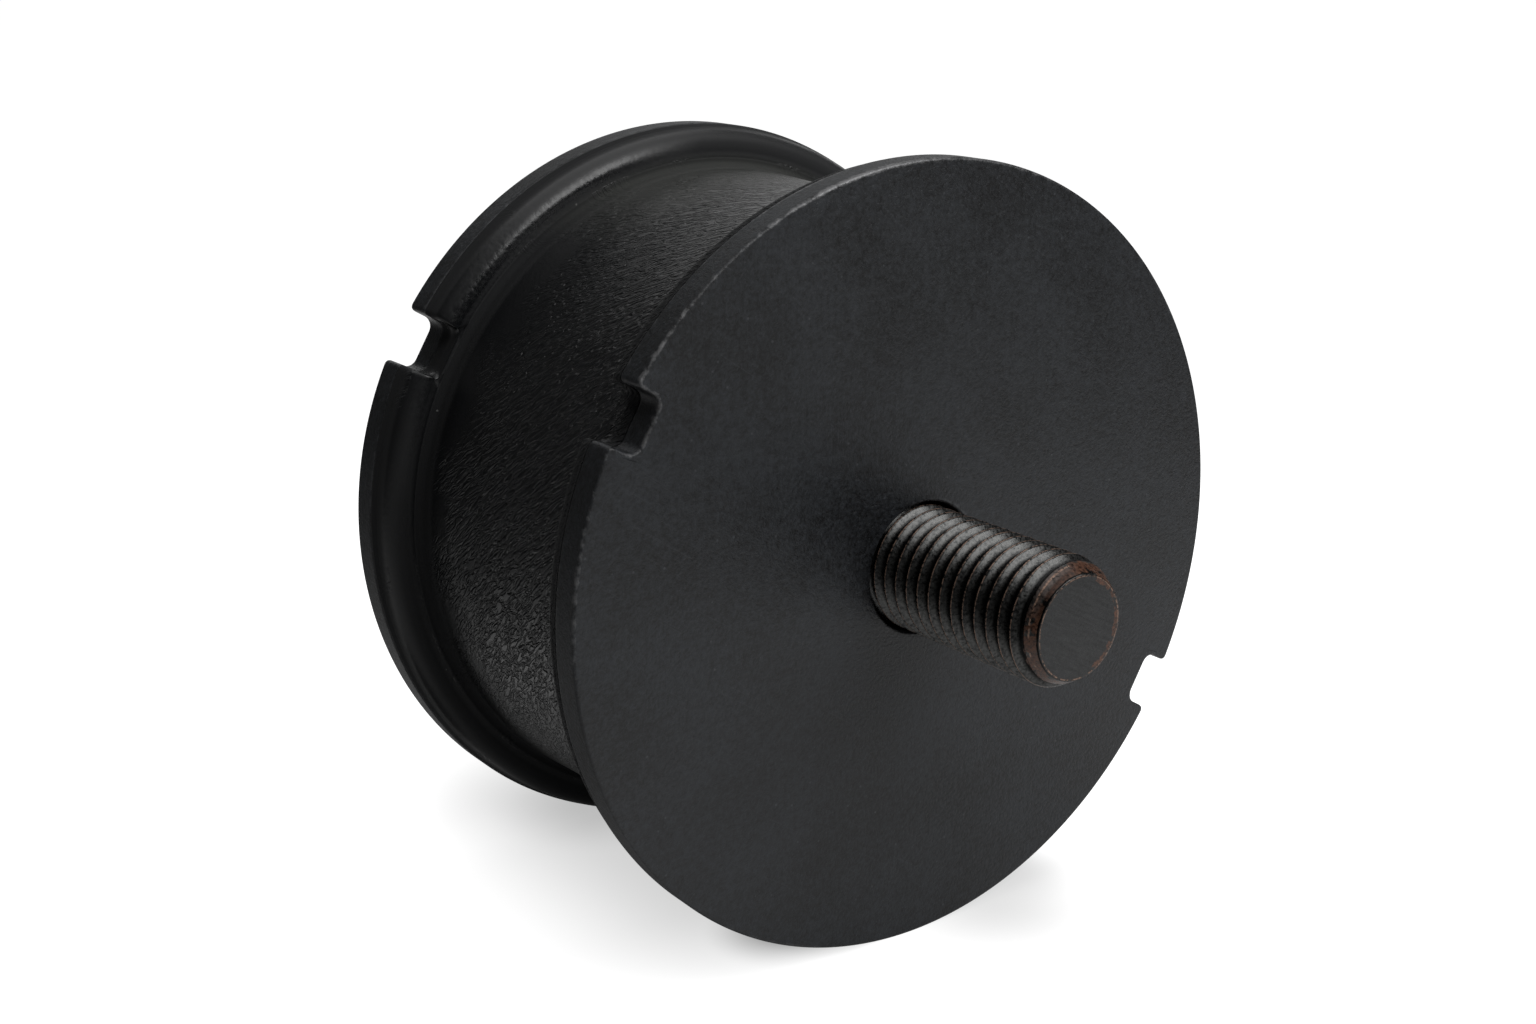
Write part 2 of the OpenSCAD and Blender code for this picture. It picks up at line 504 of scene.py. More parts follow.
def stud_blank(name, way):
    """Turned blank of one stud; way is -1 for the front stud and 1 for the rear one."""
    turn = np.linspace(0, 2 * math.pi, COLUMNS + 1)
    head = FACE_Y - HEAD_Y
    bearing_face = FACE_Y - SEAT_Y
    flats = hexagon(turn)
    plain = [(HEAD_AF / 2, head), (flats, head + HEAD_CHAMFER), (flats, bearing_face),
             (NECK_R + NECK_ROUND, bearing_face), (NECK_R, bearing_face + NECK_ROUND)]
    rows = [(np.broadcast_to(r, turn.shape), np.full(turn.shape, z), 0 * turn - 1, 0) for r, z in plain]
    steps = round((THREAD_TO - THREAD_FROM + PITCH) / PITCH * ROWS_A_PITCH)
    for k in range(steps + 1):
        lead = THREAD_FROM - PITCH + k * PITCH / ROWS_A_PITCH
        z = np.clip(lead + PITCH * turn / (2 * math.pi), THREAD_FROM, THREAD_TO)
        shank = np.minimum(THREAD_R, THREAD_R - TIP_CHAMFER * (1 - (THREAD_TO - z) / TIP_RUN))
        rows.append((np.where(z > THREAD_FROM, shank, NECK_R), z, 0 * turn + lead / PITCH + LEAD_START, 0))
    tip_r = THREAD_R - TIP_CHAMFER
    for inward, worn in TIP_RINGS:
        rows.append((0 * turn + tip_r - inward * MM, 0 * turn + THREAD_TO, 0 * turn - 1, worn))
    rings = [np.c_[r * np.cos(turn), way * (z - FACE_Y), -way * r * np.sin(turn)] for r, z, _, _ in rows]
    ends = [[0, way * (head - FACE_Y), 0], [0, way * (THREAD_TO - FACE_Y), 0]]
    points = np.concatenate(rings + [ends])
    wide = COLUMNS + 1
    faces = [(k * wide + i, k * wide + i + 1, (k + 1) * wide + i + 1, (k + 1) * wide + i)
             for k in range(len(rows) - 1) for i in range(COLUMNS)]
    for row, end in ((0, len(points) - 2), (len(rows) - 1, len(points) - 1)):
        faces += [(row * wide + i, row * wide + i + 1, end) for i in range(COLUMNS)]
    mesh = bpy.data.meshes.new(name)
    mesh.from_pydata([tuple(p) for p in points], [], faces)
    marks = {"lead": [r[2] for r in rows], "run": [r[1] / MM for r in rows],
             "tip_wear": [r[3] + 0 * turn for r in rows]}
    for mark, values in marks.items():
        spread = np.append(np.concatenate(values), [values[0][0], values[-1][0]])
        mesh.attributes.new(mark, "FLOAT", "POINT").data.foreach_set("value", spread.astype(np.float32))
    blank = bpy.data.objects.new(name, mesh)
    scene.collection.objects.link(blank)
    return blank


front_stud = stud_blank("front_threaded_stud", -1)
rear_stud = stud_blank("rear_threaded_stud", 1)
print(f"{len(front_stud.data.vertices)} points on each blank")

# %% [markdown]
# Rolling the thread: for each point the tree takes its place along the helix, works out how
# far it lies from the nearest crest, and pulls it in towards the axis. It keeps that share as
# an attribute, because worn crests are brighter than the roots.

# %% Thread-rolling tree
ROLLED_WELD = 0.002 * MM


def rolling_tree():
    """Geometry Nodes tree that presses a helical groove into a stud blank."""
    tree = bpy.data.node_groups.new("roll_thread", "GeometryNodeTree")
    face = tree.interface
    face.new_socket("Blank", in_out="INPUT", socket_type="NodeSocketGeometry")
    for name in ("Crest radius", "Groove depth", "Crest half width", "Root half width", "Run in from",
                 "Run in to"):
        face.new_socket(name, in_out="INPUT", socket_type="NodeSocketFloat")
    face.new_socket("Finish", in_out="INPUT", socket_type="NodeSocketMaterial")
    face.new_socket("Stud", in_out="OUTPUT", socket_type="NodeSocketGeometry")
    given = add(tree, "NodeGroupInput").outputs
    lead = add(tree, "GeometryNodeInputNamedAttribute", {"Name": "lead"}, data_type="FLOAT")
    run = add(tree, "GeometryNodeInputNamedAttribute", {"Name": "run"}, data_type="FLOAT")
    turn = add(tree, MATH, {0: lead}, operation="FRACT")
    off = add(tree, MATH, {0: turn, 1: 0.5}, operation="SUBTRACT")
    aside = add(tree, MATH, {0: off}, operation="ABSOLUTE")
    root_at = add(tree, MATH, {0: 0.5, 1: given["Root half width"]}, operation="SUBTRACT")
    sunk = add(tree, RANGE, {"Value": aside, "From Min": given["Crest half width"], "From Max": root_at})
    run_in = add(tree, RANGE, {"Value": run, "From Min": given["Run in from"],
                               "From Max": given["Run in to"]})
    pressed = add(tree, MATH, {0: sunk, 1: run_in}, operation="MULTIPLY")
    depth = add(tree, MATH, {0: pressed, 1: given["Groove depth"]}, operation="MULTIPLY")
    rolled = add(tree, MATH, {0: given["Crest radius"], 1: depth}, operation="SUBTRACT")
    place = add(tree, "GeometryNodeInputPosition")
    flat = add(tree, VECTOR, {0: place, 1: (1, 0, 1)}, operation="MULTIPLY")
    along = add(tree, VECTOR, {0: place, 1: (0, 1, 0)}, operation="MULTIPLY")
    blank_r = add(tree, VECTOR, {0: flat}, operation="LENGTH").outputs["Value"]
    outward = add(tree, VECTOR, {0: flat}, operation="NORMALIZE")
    radius = add(tree, MATH, {0: blank_r, 1: rolled}, operation="MINIMUM")
    spoke = add(tree, VECTOR, {0: outward, "Scale": radius}, operation="SCALE")
    target = add(tree, VECTOR, {0: spoke, 1: along}, operation="ADD")
    on_shank = add(tree, "FunctionNodeCompare", {0: lead, 1: 0.0}, operation="GREATER_THAN",
                   data_type="FLOAT")
    moved = add(tree, "GeometryNodeSetPosition",
                {"Geometry": given["Blank"], "Selection": on_shank, "Position": target})
    crest = add(tree, MATH, {0: 1.0, 1: pressed}, operation="SUBTRACT")
    marked = add(tree, "GeometryNodeStoreNamedAttribute",
                 {"Geometry": moved, "Selection": on_shank, "Name": "crest", "Value": crest},
                 data_type="FLOAT", domain="POINT")
    welded = add(tree, "GeometryNodeMergeByDistance", {"Geometry": marked, "Distance": ROLLED_WELD})
    smooth = add(tree, "GeometryNodeSetShadeSmooth", {"Geometry": welded})
    real = add(tree, "GeometryNodeRealizeInstances", {"Geometry": smooth})
    dressed = add(tree, "GeometryNodeSetMaterial", {"Geometry": real, "Material": given["Finish"]})
    add(tree, "NodeGroupOutput", {0: dressed})
    return tree


thread_roller = rolling_tree()
print(f"{len(thread_roller.nodes)} nodes in the rolling tree")

# %% [markdown]
# ## Finishes
# Each finish is one material, built from a few patterns. A pattern's size is a real one in
# millimetres: the patterns read the Object coordinates, which are metres in the mount's own
# frame, so a pattern's scale is one over its size.
#
# The plates are steel under a black primer that the rubber bonds to. One flat colour would
# make the big face look like plastic, so noises of three sizes are added up: broad clouds,
# blots, and the grain of the coat.

# %% Black primer on the plates: tone
CLOUD = 13 * MM
BLOT = 1.2 * MM
GRAIN = 0.5 * MM


def start_material(name):
    """New material; gives the material, its tree and its shader node."""
    material = bpy.data.materials.new(name)
    material.use_nodes = True
    print(f"material {name}")
    return material, material.node_tree, material.node_tree.nodes["Principled BSDF"]


# Satin black with a faint grey bloom, which tells the eye of painted metal
plate_finish, tree, shader = start_material("black_primed_steel")
place = add(tree, "ShaderNodeTexCoord").outputs["Object"]
clouds = add(tree, NOISE, {"Vector": place, "Scale": 1 / CLOUD, "Detail": 3.0})
blots = add(tree, NOISE, {"Vector": place, "Scale": 1 / BLOT, "Detail": 2.0})
grain = add(tree, NOISE, {"Vector": place, "Scale": 1 / GRAIN, "Detail": 3.0, "Roughness": 0.7})
blotted = add(tree, MATH, {0: clouds, 1: blots}, operation="ADD")
patches = add(tree, MATH, {0: blotted, 1: 0.55, 2: grain}, operation="MULTIPLY_ADD")
tone = add(tree, RANGE, {"Value": patches, "From Min": 0.86, "From Max": 1.26})
primer = add(tree, MIX, {0: tone, 6: linear("#07080a"), 7: linear("#272a2e")}, data_type="RGBA").outputs[2]

# %% [markdown]
# Handling leaves hairline scratches and a little dust on the primer. A scratch is a noise
# drawn out far along one direction, of which only the highest part shows. Real hairlines are
# finer than a pixel here, so they are drawn somewhat coarser. Dust is the middle of each cell
# of a Voronoi pattern.

# %% Black primer on the plates: scratches and dust
# Each kind of scratch: its direction across the face, its length and its width in mm
SCRATCHES = ((0.6, 11, 0.16), (-0.9, 7, 0.14))
PLATE_DUST_APART = 2.6 * MM

dust = add(tree, "ShaderNodeTexVoronoi", {"Vector": place, "Scale": 1 / PLATE_DUST_APART}).outputs["Distance"]
marked = add(tree, RANGE, {"Value": dust, "From Min": 0.075, "From Max": 0.04, "To Max": 0.5})
for angle, long_mm, fine_mm in SCRATCHES:
    stretch = (long_mm * MM, long_mm * MM, fine_mm * MM)
    drawn = add(tree, "ShaderNodeMapping", {"Vector": place, "Rotation": (0, angle, 0), "Scale": stretch},
                vector_type="TEXTURE")
    lines = add(tree, NOISE, {"Vector": drawn, "Scale": 1.0, "Detail": 0.0})
    line = add(tree, RANGE, {"Value": lines, "From Min": 0.76, "From Max": 0.82, "To Max": 0.12})
    marked = add(tree, MATH, {0: marked, 1: line}, operation="MAXIMUM")
primer = add(tree, MIX, {0: marked, 6: primer, 7: linear("#4a4c50")}, data_type="RGBA").outputs[2]
print(f"{len(SCRATCHES)} kinds of scratch, dust about every {PLATE_DUST_APART / MM:.1f} mm")

# %% [markdown]
# Along the rolled edges the primer is knocked off and steel shows, in broken runs. A Bevel
# node could find the edges, but it traces extra rays for every sample, so the plates carry
# their distance from the edge as an attribute. The upper left of the front plate has been
# handled most, and its worn top edge there is also a painted highlight where the light from
# above catches it. The notches are sheltered. The rims are duller than the faces.

# %% Black primer on the plates: worn edges and relief
# Wear lost for each millimetre from the edge, and the side that has been handled most, whose worn edge is
# also a painted highlight
WEAR_FALL = 0.7
MOST_HANDLED_AND_LIT = (-0.6, -0.9, 0.8)

# Sizes of a knock, of a run of knocks and of a turning line, and height of the relief
KNOCK = 1.2 * MM
WORN_RUN = 24 * MM
TURNING_LINES = (20 * MM, 0.2 * MM, 20 * MM)
PRIMER_RELIEF = 0.12 * MM

from_edge = add(tree, "ShaderNodeAttribute", attribute_name="from_edge").outputs["Fac"]
spared = add(tree, MATH, {0: from_edge, 1: WEAR_FALL}, operation="MULTIPLY")
knocks = add(tree, NOISE, {"Vector": place, "Scale": 1 / KNOCK, "Detail": 4.0, "Roughness": 0.7})
runs = add(tree, NOISE, {"Vector": place, "Scale": 1 / WORN_RUN, "Detail": 1.0})
broken = add(tree, MATH, {0: knocks, 1: runs}, operation="ADD")
exposed = add(tree, MATH, {0: broken, 1: spared}, operation="SUBTRACT")
chance = add(tree, RANGE, {"Value": exposed, "From Min": 0.93, "From Max": 1.17})
toward = add(tree, VECTOR, {0: place, 1: MOST_HANDLED_AND_LIT}, operation="DOT_PRODUCT").outputs["Value"]
# Worn steel laid on most along the upper left: real wear, and also a painted highlight on the lit top edge
handled_and_lit = add(tree, RANGE, {"Value": toward, "From Min": 40 * MM, "From Max": 70 * MM, "To Min": 0.25})
wear_and_glint = add(tree, MATH, {0: chance, 1: handled_and_lit}, operation="MULTIPLY")
colour = add(tree, MIX, {0: wear_and_glint, 6: primer, 7: linear("#767677")}, data_type="RGBA").outputs[2]
metal = add(tree, MATH, {0: wear_and_glint, 1: 0.8}, operation="MULTIPLY")
satin = add(tree, RANGE, {"Value": patches, "From Min": 0.7, "From Max": 1.4, "To Min": 0.36, "To Max": 0.5})
disc = add(tree, VECTOR, {0: place, 1: (1, 0, 1)}, operation="MULTIPLY")
radius = add(tree, VECTOR, {0: disc}, operation="LENGTH").outputs["Value"]
on_rim = add(tree, RANGE, {"Value": radius, "From Min": PLATE_R - 0.2 * MM, "From Max": PLATE_R - 0.05 * MM})
rough = add(tree, MIX, {0: on_rim, 2: satin, 3: 0.6})

# Relief: the grain of the coat, and faint turning lines that only show on the rim
turned = add(tree, "ShaderNodeMapping", {"Vector": place, "Scale": TURNING_LINES}, vector_type="TEXTURE")
turning = add(tree, NOISE, {"Vector": turned, "Scale": 1.0, "Detail": 2.0})
relief = add(tree, MATH, {0: turning, 1: 0.15, 2: grain}, operation="MULTIPLY_ADD")
bump = add(tree, "ShaderNodeBump", {"Height": relief, "Strength": 1.0, "Distance": PRIMER_RELIEF})
feed(tree, shader, {"Base Color": colour, "Metallic": metal, "Roughness": rough, "Normal": bump})
print(f"{len(tree.nodes)} nodes in {plate_finish.name}")

# %% [markdown]
# The rubber has the skin of its mould: matt, almost black, smooth towards the rear and finely
# wrinkled towards the front, where it shrank. Folds in the mesh would take millions of faces,
# so the creases are relief in the finish, at the places where a noise crosses its own middle
# value. They climb round the waist at about 45 degrees, so the noise reads a slanted
# coordinate: the way round the waist is added to the way along it.

# %% Moulded rubber: wrinkled skin
WRINKLE = (1.75 * MM, 1.0 * MM, 1.75 * MM)
WRINKLE_DEPTH = 0.38 * MM
PORE = 0.6 * MM
PORE_DEPTH = 0.03 * MM
DRIFT = 9 * MM
SLANT = 1.1

# Black that takes its light in small broken glints, as a rubber skin does
rubber_finish, tree, shader = start_material("moulded_black_rubber")
place = add(tree, "ShaderNodeTexCoord").outputs["Object"]
split = add(tree, "ShaderNodeSeparateXYZ", {0: place}).outputs
turn = add(tree, MATH, {0: split["X"], 1: split["Z"]}, operation="ARCTAN2")
round_waist = {0: turn, 1: SLANT * (FOOT_R - WAIST_DEPTH), 2: split["Y"]}
climb = add(tree, MATH, round_waist, operation="MULTIPLY_ADD")
slanted = add(tree, "ShaderNodeCombineXYZ", {"X": split["X"], "Y": climb, "Z": split["Z"]})
drawn = add(tree, "ShaderNodeMapping", {"Vector": slanted, "Scale": WRINKLE}, vector_type="TEXTURE")
folds = add(tree, NOISE, {"Vector": drawn, "Scale": 1.0, "Detail": 2.0, "Distortion": 0.5})
middle = add(tree, MATH, {0: folds, 1: 0.5}, operation="SUBTRACT")
gap = add(tree, MATH, {0: middle}, operation="ABSOLUTE")
crease = add(tree, RANGE, {"Value": gap, "From Max": 0.14}, interpolation_type="SMOOTHSTEP")
drift = add(tree, NOISE, {"Vector": place, "Scale": 1 / DRIFT, "Detail": 2.0})
forward = add(tree, RANGE, {"Value": split["Y"], "From Min": 15 * MM, "From Max": -5 * MM, "To Min": -0.3,
                            "To Max": 0.7})
mottled = add(tree, MATH, {0: forward, 1: drift}, operation="ADD")
polish = add(tree, "ShaderNodeAttribute", attribute_name="polish").outputs["Fac"]
shoulder = add(tree, RANGE, {"Value": polish, "From Min": 0.35, "From Max": 0.9})
skinned = add(tree, MATH, {0: mottled, 1: shoulder}, operation="SUBTRACT")
wrinkled = add(tree, RANGE, {"Value": skinned, "From Min": 0.22, "From Max": 0.9})
depth = add(tree, MATH, {0: crease, 1: wrinkled}, operation="MULTIPLY")
pores = add(tree, NOISE, {"Vector": place, "Scale": 1 / PORE, "Detail": 2.0})
fine = add(tree, "ShaderNodeBump", {"Height": pores, "Strength": 1.0, "Distance": PORE_DEPTH})
bump = add(tree, "ShaderNodeBump", {"Height": depth, "Strength": 1.0, "Distance": WRINKLE_DEPTH,
                                    "Normal": fine})
print(f"wrinkles {min(WRINKLE) / MM:.2f} mm wide, {WRINKLE_DEPTH / MM:.2f} mm deep")

# %% [markdown]
# A lighter grey is painted on top of the waist towards the rear, a painted sheen where the light
# from above falls, and small specks of dust lie scattered over the rubber. The shoulders of the
# feet are rubbed to a grainy shine on the upper left, where the mount is gripped, and are dull
# elsewhere. The section of the rubber carries a polish value, so the shine follows the
# shoulder's curve exactly.

# %% Moulded rubber: dust and shine
RUBBER_DUST_APART = 5 * MM
GRIPPED_SIDE = (-0.8, 0, 0.6)

base = add(tree, MIX, {0: drift, 6: linear("#090a0c"), 7: linear("#131416")}, data_type="RGBA").outputs[2]
disc = add(tree, VECTOR, {0: place, 1: (1, 0, 1)}, operation="MULTIPLY")
radius = add(tree, VECTOR, {0: disc}, operation="LENGTH").outputs["Value"]
# Painted sheen: a lighter grey on top of the waist towards the rear, where the light from above falls
painted_sheen = add(tree, RANGE, {"Value": radius, "From Min": 46.5 * MM, "From Max": 45 * MM})
for axis, start, full in (("Z", 37 * MM, 43 * MM), ("Y", -4 * MM, 10 * MM)):
    reach = add(tree, RANGE, {"Value": split[axis], "From Min": start, "From Max": full})
    painted_sheen = add(tree, MATH, {0: painted_sheen, 1: reach}, operation="MULTIPLY")
sheened = add(tree, MIX, {0: painted_sheen, 6: base, 7: linear("#313230")}, data_type="RGBA").outputs[2]
dust = add(tree, "ShaderNodeTexVoronoi",
           {"Vector": place, "Scale": 1 / RUBBER_DUST_APART}).outputs["Distance"]
speck = add(tree, RANGE, {"Value": dust, "From Min": 0.035, "From Max": 0.02})
colour = add(tree, MIX, {0: speck, 6: sheened, 7: linear("#6c6c6a")}, data_type="RGBA").outputs[2]

raised = add(tree, RANGE, {"Value": split["Z"], "From Min": 5 * MM, "From Max": 25 * MM})
side = add(tree, VECTOR, {0: place, 1: GRIPPED_SIDE}, operation="DOT_PRODUCT").outputs["Value"]
gripped = add(tree, RANGE, {"Value": side, "From Min": 29 * MM, "From Max": 39 * MM})
handled_and_lit = add(tree, MATH, {0: raised, 1: gripped}, operation="MULTIPLY")
shiny = add(tree, MATH, {0: shoulder, 1: handled_and_lit}, operation="MULTIPLY")
rubbed = add(tree, RANGE, {"Value": pores, "From Min": 0.3, "From Max": 0.7, "To Min": 0.16, "To Max": 0.32})
waist = add(tree, RANGE, {"Value": polish, "From Min": EDGE_POLISH, "From Max": WAIST_POLISH, "To Min": 0.9,
                          "To Max": 0.36})
dull = add(tree, MIX, {0: shoulder, 2: waist, 3: 0.8})
rough = add(tree, MIX, {0: shiny, 2: dull, 3: rubbed})
feed(tree, shader, {"Base Color": colour, "Roughness": rough, "Normal": bump})
print(f"{len(tree.nodes)} nodes in {rubber_finish.name}")

# %% [markdown]
# The studs are blackened steel. The black stays deep in the roots of the thread, is rubbed
# grey on its flanks, and is worn through to a bronze line on the very crests and round the edge
# of the tip. The thread's own crest value, which the rolling tree keeps, places all three.

# %% Blackened steel: thread
GRIT = 0.35 * MM

# Dark metal with thin warm lines, which make the thread easy to read
stud_finish, tree, shader = start_material("black_oxide_steel")
place = add(tree, "ShaderNodeTexCoord").outputs["Object"]
grit = add(tree, NOISE, {"Vector": place, "Scale": 1 / GRIT, "Detail": 3.0})
mottle = add(tree, RANGE, {"Value": grit, "From Min": 0.3, "From Max": 0.7})
oxide = add(tree, MIX, {0: mottle, 6: linear("#080808"), 7: linear("#141414")}, data_type="RGBA").outputs[2]
rubbed = add(tree, MIX, {0: mottle, 6: linear("#262727"), 7: linear("#565655")}, data_type="RGBA").outputs[2]
crest = add(tree, "ShaderNodeAttribute", attribute_name="crest").outputs["Fac"]
tip_wear = add(tree, "ShaderNodeAttribute", attribute_name="tip_wear").outputs["Fac"]
raised = add(tree, RANGE, {"Value": crest, "From Min": 0.18, "From Max": 0.5})
black = add(tree, MIX, {0: raised, 6: oxide, 7: rubbed}, data_type="RGBA").outputs[2]
crown = add(tree, RANGE, {"Value": crest, "From Min": 0.97, "From Max": 1.0})
edge = add(tree, MATH, {0: crown, 1: tip_wear}, operation="MAXIMUM")
spots = add(tree, RANGE, {"Value": grit, "From Min": 0.36, "From Max": 0.56})
worn = add(tree, MATH, {0: edge, 1: spots}, operation="MULTIPLY")
steel = add(tree, MIX, {0: worn, 6: black, 7: linear("#a18371")}, data_type="RGBA").outputs[2]
print(f"grit of {GRIT / MM:.2f} mm, {len(tree.nodes)} nodes so far")

# %% [markdown]
# The tip has begun to rust: all round its chamfer, apart from a scuffed patch on the upper
# left, and in spots along the right-hand edge of the end face. The end face itself was sawn
# and filed, which leaves fine streaks across it.

# %% Blackened steel: rust and end face
# Places along the stud, in mm from the plate: where the rust sets in, and the end face
RUST_RUN_MM = (24.2, 25.4)
END_FACE_MM = (26.97, 27.0)
RUST = 1.1 * MM
SCUFFED_SIDE = (-0.6, 0, 0.8)
STREAK = (3 * MM, 3 * MM, 0.35 * MM)
OXIDE_RELIEF = 0.012 * MM

disc = add(tree, VECTOR, {0: place, 1: (1, 0, 1)}, operation="MULTIPLY")
radius = add(tree, VECTOR, {0: disc}, operation="LENGTH").outputs["Value"]
run = add(tree, "ShaderNodeAttribute", attribute_name="run").outputs["Fac"]
near_tip = add(tree, RANGE, {"Value": run, "From Min": RUST_RUN_MM[0], "From Max": RUST_RUN_MM[1]})
on_chamfer = add(tree, RANGE, {"Value": radius, "From Min": 6.33 * MM, "From Max": 6.45 * MM})
on_rim = add(tree, RANGE, {"Value": radius, "From Min": 4.7 * MM, "From Max": 5.7 * MM, "To Max": 0.85})
across = add(tree, "ShaderNodeSeparateXYZ", {0: place}).outputs["X"]
to_right = add(tree, RANGE, {"Value": across, "From Min": -1 * MM, "From Max": 3 * MM})
rim_right = add(tree, MATH, {0: on_rim, 1: to_right}, operation="MULTIPLY")
reached = add(tree, MATH, {0: on_chamfer, 1: rim_right}, operation="MAXIMUM")
damp = add(tree, NOISE, {"Vector": place, "Scale": 1 / RUST, "Detail": 3.0})
wet = add(tree, MATH, {0: near_tip, 1: reached}, operation="MULTIPLY")
soaked = add(tree, MATH, {0: wet, 1: damp}, operation="MULTIPLY")
rust = add(tree, RANGE, {"Value": soaked, "From Min": 0.36, "From Max": 0.44})
upper_left = add(tree, VECTOR, {0: place, 1: SCUFFED_SIDE}, operation="DOT_PRODUCT").outputs["Value"]
scuffed = add(tree, RANGE, {"Value": upper_left, "From Min": 5.2 * MM, "From Max": 6.8 * MM, "To Max": 0.75})
cleaned = add(tree, MATH, {0: scuffed, 1: tip_wear}, operation="MAXIMUM")
dry = add(tree, MATH, {0: 1.0, 1: cleaned}, operation="SUBTRACT")
rusted = add(tree, MATH, {0: rust, 1: dry}, operation="MULTIPLY")
scale = add(tree, MIX, {0: mottle, 6: linear("#2c1b13"), 7: linear("#6a4735")}, data_type="RGBA").outputs[2]

on_end = add(tree, RANGE, {"Value": run, "From Min": END_FACE_MM[0], "From Max": END_FACE_MM[1]})
plain = add(tree, MATH, {0: on_end, 1: worn}, operation="SUBTRACT", use_clamp=True)
filed = add(tree, "ShaderNodeMapping", {"Vector": place, "Rotation": (0, 0.5, 0), "Scale": STREAK},
            vector_type="TEXTURE")
marks = add(tree, NOISE, {"Vector": filed, "Scale": 1.0, "Detail": 3.0, "Roughness": 0.6})
streaks = add(tree, RANGE, {"Value": marks, "From Min": 0.3, "From Max": 0.7})
sawn = add(tree, MIX, {0: streaks, 6: linear("#121314"), 7: linear("#2b2c2d")}, data_type="RGBA").outputs[2]
faced = add(tree, MIX, {0: plain, 6: steel, 7: sawn}, data_type="RGBA").outputs[2]
colour = add(tree, MIX, {0: rusted, 6: faced, 7: scale}, data_type="RGBA").outputs[2]
dulled = add(tree, MATH, {0: rusted, 1: worn}, operation="MAXIMUM")
covered = add(tree, MATH, {0: dulled, 1: plain}, operation="MAXIMUM")
bare = add(tree, RANGE, {"Value": covered, "To Min": 0.9, "To Max": 0.2})
rough = add(tree, RANGE, {"Value": mottle, "To Min": 0.22, "To Max": 0.4})
bump = add(tree, "ShaderNodeBump", {"Height": grit, "Strength": 1.0, "Distance": OXIDE_RELIEF})
feed(tree, shader, {"Base Color": colour, "Metallic": bare, "Roughness": rough, "Normal": bump})
print(f"{len(tree.nodes)} nodes in {stud_finish.name}")

# %% [markdown]
# ## Dressing the pieces
# The plates and the rubber just take their finish. The studs go through the rolling tree: its
# inputs are found by name and set by their identifiers before the tree first runs. The
# rolled result then becomes the stud's plain mesh, so nothing is left to run later.

# %% Dress the pieces and roll the threads
# The crests stay a little inside the outside diameter; half widths are shares of the pitch
CREST_IN = 0.16 * MM
CREST_HALF = 0.045
ROOT_HALF = 0.09
RUN_IN_MM = 1.0

for piece, coat in ((front_disc, plate_finish), (rear_disc, plate_finish), (rubber, rubber_finish)):
    piece.data.materials.append(coat)

sockets = {s.name: s.identifier for s in thread_roller.interface.items_tree if s.in_out == "INPUT"}
settings = {"Crest radius": THREAD_R - CREST_IN, "Groove depth": THREAD_DEPTH, "Crest half width": CREST_HALF,
            "Root half width": ROOT_HALF, "Run in from": THREAD_FROM / MM,
            "Run in to": THREAD_FROM / MM + RUN_IN_MM, "Finish": stud_finish}
for stud in (front_stud, rear_stud):
    rolling = stud.modifiers.new("roll_thread", "NODES")
    rolling.node_group = thread_roller
    for name, value in settings.items():
        rolling[sockets[name]] = value
    finished(stud)

# %% [markdown]
# ## Floor and light
# The mount lies on white paper. The lit paper carries the soft shadow. For rays from the
# camera it also glows, so that the paper runs out into plain white without any more light on
# the mount. Near where the mount touches it the glow is turned down, as painted contact shadow.

# %% Paper floor: what the camera sees
FLOOR_Z = -PLATE_R

# Middle and half length of the strip of floor that the two rims shade, where the glow paints the shadow
STRIP_X = -16 * MM
STRIP_Y = 16 * MM
STRIP_HALF = 20 * MM

# Painted contact shadows in the glow: middle and radius in mm, and the share of the glow left in the middle
DIPS = ((-14, 30, 17, 0.74), (-9, -19, 10, 0.3), (-15, -17, 10, 0.4), (14, -28, 22, 0.58), (24, -22, 12, 0.7))

# White that runs out without an edge, so that the eye stays on the mount
paper = bpy.data.materials.new("white_paper")
paper.use_nodes = True
tree = paper.node_tree
tree.nodes.clear()
place = add(tree, "ShaderNodeTexCoord").outputs["Object"]
from_strip = add(tree, VECTOR, {0: place, 1: (STRIP_X, STRIP_Y, FLOOR_Z)}, operation="SUBTRACT")
folded = add(tree, VECTOR, {0: from_strip}, operation="ABSOLUTE")
past = add(tree, VECTOR, {0: folded, 1: (0, STRIP_HALF, 0)}, operation="SUBTRACT")
beyond = add(tree, VECTOR, {0: past, 1: (0, 0, 0)}, operation="MAXIMUM")
away = add(tree, VECTOR, {0: beyond}, operation="LENGTH").outputs["Value"]
glow = add(tree, RANGE, {"Value": away, "From Max": 30 * MM, "To Min": 0.64},
           interpolation_type="SMOOTHSTEP")
for x_mm, y_mm, wide_mm, low in DIPS:
    spot = (x_mm * MM, y_mm * MM, FLOOR_Z)
    off = add(tree, VECTOR, {0: place, 1: spot}, operation="DISTANCE").outputs["Value"]
    dip = add(tree, RANGE, {"Value": off, "From Max": wide_mm * MM, "To Min": low},
              interpolation_type="SMOOTHSTEP")
    glow = add(tree, MATH, {0: glow, 1: dip}, operation="MULTIPLY")
print(f"{len(DIPS)} contact shadows")

# %% [markdown]
# Black metal and rubber show little but what they mirror, so it matters how bright each part
# of the paper is in reflections. In a photo studio that is done with black cards round the
# object. Here the paper's glow in reflections and its own colour are painted darker instead:
# painted shade under the mount, beside its plates, and far off. Between the plates the glow is
# painted brighter, a painted light that lights the wrinkles of the waist.

